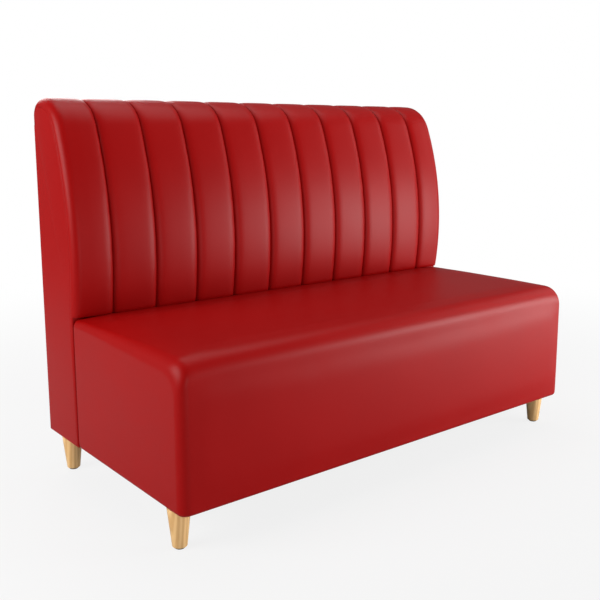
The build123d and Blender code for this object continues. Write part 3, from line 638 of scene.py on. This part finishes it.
# Dust cover under the seat, thin black spun cloth cut round the legs, lapped over the turned under
# leatherette and held by a row of wire staples near its edge.
def black_cloth():
    """Thin spunbonded cloth with a fine square weave pressed into it."""
    cloth = new_material("black_dust_cloth", (0.014, 0.014, 0.015), roughness=0.85)
    shader = cloth.node_tree.nodes["Principled BSDF"]
    place = add_node(cloth, "TexCoord")
    weft = add_node(cloth, "TexWave", {"Scale": 260.0, "Distortion": 0.6}, bands_direction="X")
    warp = add_node(cloth, "TexWave", {"Scale": 260.0, "Distortion": 0.6}, bands_direction="Y")
    mesh = add_node(cloth, "Math", operation="ADD")
    fluff = add_node(cloth, "TexNoise", {"Scale": 60.0, "Detail": 4.0})
    shades = add_node(cloth, "MixRGB", {"Color1": (0.008, 0.008, 0.009, 1),
                                        "Color2": (0.026, 0.026, 0.027, 1)})
    relief = add_node(cloth, "Bump", {"Strength": 0.3, "Distance": 0.0002})
    for texture in (weft, warp, fluff):
        wire(cloth, place, "Object", texture, "Vector")
    wire(cloth, weft, "Fac", mesh, 0)
    wire(cloth, warp, "Fac", mesh, 1)
    wire(cloth, mesh, 0, relief, "Height")
    wire(cloth, relief, "Normal", shader, "Normal")
    wire(cloth, fluff, "Fac", shades, "Fac")
    wire(cloth, shades, "Color", shader, "Base Color")
    return cloth


dust_cloth = black_cloth()
dust_sag = 0.004
dust_sag_power = 0.7
dust_ripple = 0.0004
dust_ripple_scale = 9
dust_thickness = 0.0005
dust_step = 0.02
dust_weld = 0.00001
leg_hole_radius = 0.031
leg_hole_cut = 0.05
leg_boxes = [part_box(name) for name in leg_names]
leg_centres = [(low + high) / 2 for low, high in leg_boxes]


def dust_cover(name, node):
    """A stretched cloth with holes for the legs, sagging a little between its stapled edges."""
    low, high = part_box(node)
    columns = spread(low.x, high.x, dust_step) + [high.x]
    lines = spread(low.y, high.y, dust_step) + [high.y]
    top = high.z - dust_thickness / 2

    def sag(x, y):
        across = sin(pi * (x - low.x) / (high.x - low.x)) * sin(pi * (y - low.y) / (high.y - low.y))
        ripple = noise.noise(Vector((x * dust_ripple_scale, y * dust_ripple_scale, 0)))
        return dust_sag * across ** dust_sag_power + dust_ripple * ripple

    rows = [[(x, y, top - max(0.0, sag(x, y))) for x in columns] for y in lines]
    cloth = skin(name, rows)
    apply_modifier(cloth, "SOLIDIFY", thickness=dust_thickness, offset=0)
    for centre in leg_centres:
        if not low.y - leg_hole_radius < centre.y < high.y + leg_hole_radius:
            continue
        deselect()
        bpy.ops.mesh.primitive_cylinder_add(vertices=64, radius=leg_hole_radius, depth=leg_hole_cut,
                                            location=(centre.x, centre.y, high.z))
        punch = bpy.context.object
        apply_modifier(cloth, "BOOLEAN", operation="DIFFERENCE", object=punch, solver="EXACT")
        bpy.data.objects.remove(punch)
    weld(cloth, dust_weld)
    settle(cloth, name, dust_cloth, node)


staple_wire = plain_metal("staple_wire", (0.66, 0.66, 0.66), roughness=0.3)
dust_cover("seat_dust_cloth", "seat_dust_cover")
dress(staple_wire, "dust_cover_staples")

# Frame of the back: plywood end panels and ribs cut to the curve, a base board and a front board
# for the bolts, pine rails, a hardboard sheet behind and a bent plywood skin in front.
hardboard = speckled("hardboard", (0.22, 0.12, 0.06), roughness=0.7, grain=160, depth=0.0004,
                     contrast=0.3)
dress(birch_ply, "back_left_end_panel", "back_right_end_panel", "back_left_rib", "back_right_rib",
      "back_base_board", "back_lower_front_board", "back_front_skin")
dress(pine, "back_seat_level_rails", "back_top_rails", "back_middle_rails")
dress(hardboard, "back_rear_board")

# Foam of the back, eleven upright strips glued side by side on the skin, and a thin sheet glued on
# each end panel.
channel_count = 11
for number in range(1, channel_count + 1):
    dress(cut_foam, f"back_channel_foam_{number:02d}")
dress(cut_foam, "back_left_side_foam", "back_right_side_foam")

# Channel cover of the back, red leatherette sewn into eleven upright channels, pulled over the
# foam strips, over the crown and down to the rear seam. Each seam lies in a narrow groove.
back_low, back_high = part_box("back_channel_cover")
side_low, side_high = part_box("back_left_side_cover")
rear_y = side_high.y
crown_height = back_high.z
pad_bottom = back_low.z
rear_seam_rise = 0.86
rear_seam_height = side_low.z + rear_seam_rise
full_depth = rear_y - back_low.y
full_height = 0.617
crown_depth = 0.0496
back_top_radius = 0.115
back_rear_radius = 0.045
arc_rise = crown_height - back_top_radius - full_height
arc_run = full_depth - back_top_radius - crown_depth
lean = 2 * atan2(arc_run, arc_rise)
back_front_radius = back_top_radius + arc_rise / sin(lean)
end_wrap = 0.0172
path_step = 0.0115
channel_pitch = (2 * half_width + 2 * end_wrap) / channel_count
groove_depth = 0.010
groove_flank_power = 3
groove_bottom_power = 0.58
groove_rear_share = 0.3
groove_ease_start = radians(25)
groove_ease_end = radians(115)
groove_reach = 0.034
channel_swell = 0.0016
channel_steps = (0.0, 0.0005, 0.0013, 0.0025, 0.0042, 0.0065, 0.0095, 0.013, 0.0175, 0.023, 0.029,
                 0.037, 0.05)
middle_shares = (0.2, 0.4, 0.6, 0.8)
corner_radius = 0.024
corner_turns = (12, 24, 36, 48, 60, 75, 90)
rear_corner_radius = 0.011
rear_tail_step = 0.012
lip_radius = 0.0014
lip_turns = (-90, -60, -30, 0)
lip_reach = 0.006
foot_radius = 0.003
foot_turns = (0, 30, 60)
foot_drop = 0.0006
foot_reach = 0.024
pucker_depth = 0.001
pucker_width_scale = 6
pucker_length = 0.019
pucker_reach = 0.011
far_from_seam = 1.0
cover_weld = 0.000001


def back_path():
    """Points up the front of the back, over its crown and down to the rear seam, as seen from the
    end: depth, height, outward direction, share of the way round the rear edge, length so far."""
    centre = full_depth - back_front_radius
    start = asin((pad_bottom - full_height) / back_front_radius)
    arcs = [(centre, full_height, back_front_radius, start, lean),
            (crown_depth, crown_height - back_top_radius, back_top_radius, lean, pi / 2),
            (back_rear_radius, crown_height - back_rear_radius, back_rear_radius, pi / 2, pi)]
    stations = []
    length = 0.0
    for depth, height, radius, begin, end in arcs:
        count = ceil(radius * (end - begin) / path_step) + 3
        for index in range(count + 1):
            angle = begin + (end - begin) * index / count
            share = max(0.0, 2 * angle / pi - 1)
            run = length + radius * (angle - begin)
            stations.append((depth + radius * cos(angle), height + radius * sin(angle),
                             cos(angle), sin(angle), share, run))
        length += radius * (end - begin)
    lower = crown_height - back_rear_radius
    for height in (lower - rear_tail_step, rear_seam_height):
        stations.append((0.0, height, -1.0, 0.0, 1.0, length + lower - height))
    return stations


def channel_side(seam, side):
    """Columns across half a channel: place, two insets of an end's corner, inset of the channel's
    own form, steep beside its seam and full in the middle, and way to the seam."""
    rows = []
    for away in channel_steps:
        flank = (1 - min(1.0, away / groove_reach)) ** groove_flank_power
        crown = channel_swell * (1 - (1 - 2 * away / channel_pitch) ** 2)
        inset = groove_depth * (1 - (1 - flank) ** groove_bottom_power) - crown
        rows.append((seam + side * away, 0.0, 0.0, inset, away))
    return rows


def end_corner(side):
    """Columns where an end channel rounds the corner, from its sewn lip inwards."""
    rows = [(side * (half_width - lip_reach), corner_radius + lip_radius,
             rear_corner_radius + lip_radius, 0.0, far_from_seam)]
    for turn in lip_turns:
        back = lip_radius * (1 - cos(radians(turn)))
        down = corner_radius - lip_radius * sin(radians(turn))
        rear = rear_corner_radius - lip_radius * sin(radians(turn))
        rows.append((side * (half_width - back), down, rear, 0.0, far_from_seam))
    for turn in corner_turns:
        away = corner_radius * (1 - cos(radians(turn)))
        down = corner_radius * (1 - sin(radians(turn)))
        rear = round_inset(rear_corner_radius, away)
        rows.append((side * (half_width - away), down, rear, 0.0, far_from_seam))
    return rows


def ease_between(first, last):
    """Columns in the middle of an end channel, easing from its corner to its other half."""
    rows = []
    for share in middle_shares:
        insets = [between(a, b, ramp(share, 0, 1)) for a, b in zip(first[1:], last[1:])]
        rows.append((between(first[0], last[0], share), *insets))
    return rows


def channel_columns():
    """All columns of the cover from left to right."""
    columns = []
    for number in range(channel_count):
        left_seam = (number - channel_count / 2) * channel_pitch
        right_seam = left_seam + channel_pitch
        left = channel_side(left_seam, 1)[1:]
        right = channel_side(right_seam, -1)
        if number == 0:
            left = end_corner(-1)
        if number == channel_count - 1:
            right = end_corner(1)
        middle = []
        if number in (0, channel_count - 1):
            middle = ease_between(left[-1], right[-1])
        columns += left + middle + right[::-1]
    return columns


def pucker(x, run, away):
    """Small gathers of the leatherette beside a seam, fading out over the channel."""
    ripple = noise.noise(Vector((x * pucker_width_scale, run / pucker_length, 0.5)))
    return pucker_depth * ripple * exp(-away / pucker_reach)


back_stations = back_path()
columns = channel_columns()
foot_depth = back_stations[0][0]
foot_z = pad_bottom - foot_drop
rows = []

# The lower edge is folded under the foam in a small round
for turn in foot_turns:
    under = foot_radius * (1 - sin(radians(turn)))
    rise = foot_radius * (1 - cos(radians(turn)))
    rows.append([(x, rear_y - (foot_depth - corner - inset - under), foot_z + rise)
                 for x, corner, _, inset, _ in columns])
rows.insert(0, [(x, rear_y - (foot_depth - corner - inset - foot_reach), foot_z)
                for x, corner, _, inset, _ in columns])

# From there each row follows the back's curve, drawn in at the seams and round the ends
for depth, height, out_y, out_z, share, run in back_stations:
    if height < foot_z + foot_radius:
        continue
    turn = atan2(out_z, out_y)
    ease = min(1.0, max(0.0, (turn - groove_ease_start) / (groove_ease_end - groove_ease_start)))
    fade = 1 - (1 - groove_rear_share) * ease
    line = []
    for x, corner, rear_corner, inset, away in columns:
        drawn = between(corner, rear_corner, share) + inset * fade + pucker(x, run, away)
        line.append((x, rear_y - (depth - drawn * out_y), height - drawn * out_z))
    rows.append(line)
channel_skin = skin("back_channel_cover_leatherette", rows)
weld(channel_skin, cover_weld)
apply_modifier(channel_skin, "SOLIDIFY", thickness=cover_thickness, offset=-1)
bpy.ops.object.shade_smooth()
settle(channel_skin, "back_channel_cover_leatherette", red_leatherette,
       "back_channel_cover")

# Side covers of the back, a panel of the same leatherette on each end. Its curved edge is sewn to
# the channels, and its straight edges wrap round the rear and lower front corners.
seam_tuck = 0.0001
side_inset = corner_radius + lip_radius - seam_tuck
side_rear_inset = rear_corner_radius + lip_radius - seam_tuck
base_depth = 0.192
side_wrap = 0.036
seam_roll = 0.0022
rear_roll = 0.011
nose_roll = 0.012
foot_roll = 0.006
roll_steps = 6
side_weld = 0.00001
side_sharp_angle = radians(40)
on_edge = 0.0001


def side_outline():
    """Corners and curve of a side panel as depth and height, from its lower rear corner forwards."""
    low = side_low.z
    points = [(0.0, low), (base_depth, low), (base_depth, pad_bottom)]
    for depth, height, out_y, out_z, share, _ in back_stations:
        drawn = between(side_inset, side_rear_inset, share)
        points.append((depth - drawn * out_y, height - drawn * out_z))
    points.append((0.0, rear_seam_height))
    return points


def side_edge_radius(a, b):
    """How far an outer edge of the side panel is rounded, by where its two ends lie."""
    if max(a.z, b.z) < side_low.z + on_edge:
        return foot_roll
    if min(a.y, b.y) > rear_y - on_edge:
        return rear_roll
    if max(a.z, b.z) < pad_bottom + on_edge and max(a.y, b.y) < rear_y - base_depth + on_edge:
        return nose_roll
    return seam_roll


for side_name, side in (("left", -1), ("right", 1)):
    corners = [(side * half_width, rear_y - depth, height) for depth, height in side_outline()]
    mesh = bpy.data.meshes.new("side_panel")
    mesh.from_pydata(corners, [], [range(len(corners))])
    panel = bpy.data.objects.new("side_panel", mesh)
    scene.collection.objects.link(panel)
    make_active(panel)
    bpy.ops.object.mode_set(mode="EDIT")
    bpy.ops.mesh.select_all(action="SELECT")
    bpy.ops.mesh.extrude_region_move(TRANSFORM_OT_translate={"value": (-side * side_wrap, 0, 0)})
    bpy.ops.mesh.delete(type="ONLY_FACE")
    leave_edit()

    # Each outer edge is rounded by its own radius
    work = bmesh.new()
    work.from_mesh(panel.data)
    weights = work.edges.layers.float.new("bevel_weight_edge")
    for edge in work.edges:
        a, b = (vertex.co for vertex in edge.verts)
        if min(side * a.x, side * b.x) > half_width - on_edge:
            edge[weights] = side_edge_radius(a, b) / rear_roll
    work.to_mesh(panel.data)
    work.free()
    weld(panel, side_weld)
    apply_modifier(panel, "BEVEL", limit_method="WEIGHT", width=rear_roll, segments=roll_steps,
                   use_clamp_overlap=False)
    apply_modifier(panel, "SOLIDIFY", thickness=cover_thickness, offset=-1)
    bpy.ops.object.shade_smooth_by_angle(angle=side_sharp_angle)
    settle(panel, f"back_{side_name}_side_leatherette", red_leatherette,
           f"back_{side_name}_side_cover")

# Rear cover of the back, one flat sheet of leatherette stretched over the hardboard, tacked at its
# folded edges and turned under the base.
fold_radius = 0.004
fold_turns = (0, 30, 60, 90)
stretch_step = 0.012
rear_swell = 0.0012
rear_swell_reach = 0.1
tack_spacing = 0.07
tack_pull = 0.0005
tack_reach = 0.02
tack_edge = 0.004
unevenness = 0.0003
unevenness_scale = 5


def stretched_cover(name, node, facing, under, swell, material):
    """A sheet drawn flat over a board and folded under it, with a slight pull at each tack."""
    low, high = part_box(node)
    outer_y = high.y if facing > 0 else low.y
    columns = spread(low.x, high.x, stretch_step) + [high.x]

    def pull(x, z):
        edge = min(x - low.x, high.x - x, z - low.z, high.z - z)
        ripple = cos(2 * pi * (x + z) / tack_spacing) * exp(-edge / tack_reach) * min(1.0, edge / tack_edge)
        uneven = noise.noise(Vector((x * unevenness_scale, z * unevenness_scale, 2)))
        relief = (tack_pull * ripple + unevenness * uneven) * swell / rear_swell
        return swell * sqrt(min(1.0, edge / rear_swell_reach)) + relief

    rows = []
    for z in spread(high.z, low.z + fold_radius, stretch_step):
        rows.append([(x, outer_y + facing * pull(x, z), z) for x in columns])
    for turn in fold_turns:
        y = outer_y - facing * fold_radius * (1 - cos(radians(turn)))
        z = low.z + fold_radius * (1 - sin(radians(turn)))
        rows.append([(x, y, z) for x in columns])
    rows.append([(x, outer_y - facing * under, low.z) for x in columns])
    cloth = skin(name, rows)
    weld(cloth, cover_weld)
    if (cloth.data.polygons[0].normal.y > 0) != (facing > 0):
        cloth.data.flip_normals()
    apply_modifier(cloth, "SOLIDIFY", thickness=cover_thickness, offset=-1)
    bpy.ops.object.shade_smooth()
    settle(cloth, name, material, node)


stretched_cover("back_rear_leatherette", "back_rear_cover", facing=1, under=turn_under_long,
                swell=rear_swell, material=red_leatherette)

# Lining of the lower front, black cloth tacked to the board that the seat box is bolted against,
# and the dust cover under the back. Both are out of sight once the bench stands together.
lining_turn_under = 0.047
stretched_cover("back_lower_front_cloth", "back_lower_front_lining", facing=-1,
                under=lining_turn_under, swell=0.0, material=dust_cloth)
dust_cover("back_dust_cloth", "back_dust_cover")
